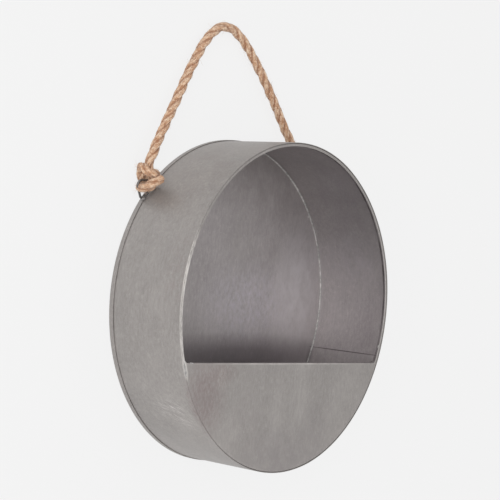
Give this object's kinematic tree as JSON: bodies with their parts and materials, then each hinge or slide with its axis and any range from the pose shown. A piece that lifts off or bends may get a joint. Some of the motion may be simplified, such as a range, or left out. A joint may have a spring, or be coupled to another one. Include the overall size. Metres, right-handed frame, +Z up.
{
  "type": "wall planter",
  "caption": "Shallow round sheet-metal drum that hangs flat on a wall from a knotted rope, with a D-shaped opening above a soil pocket.",
  "frame": {"origin": "centre of the drum's flat back, on the wall", "axes": "+Y into the wall, so the front looks along -Y; +Z up; +X to the object's right as seen from the front"},
  "size_m": [0.3619, 0.1, 0.4893],
  "materials": {
    "zinc_sheet": "dull weathered zinc coating on thin sheet steel",
    "solder": "dull grey solder, left as it flowed",
    "ring_wire": "dull zinc-coated steel wire",
    "jute": "three-strand laid jute rope, slightly hairy"
  },
  "bodies": {
    "planter": {"back_plate": "zinc_sheet", "rim_band": "zinc_sheet", "front_panel": "zinc_sheet", "back_seam_solder": "solder", "wire_rings": "ring_wire", "ring_solder": "solder"},
    "hanging_loop": {"hanging_rope": "jute", "rope_knots": "jute"}
  },
  "joints": [
    {"name": "rope_swing", "type": "hinge", "parent": "planter", "child": "hanging_loop", "pos_m": [0, -0.01222, 0.1218], "axis": [1, 0, 0], "range_deg": [0, 30]}
  ]
}
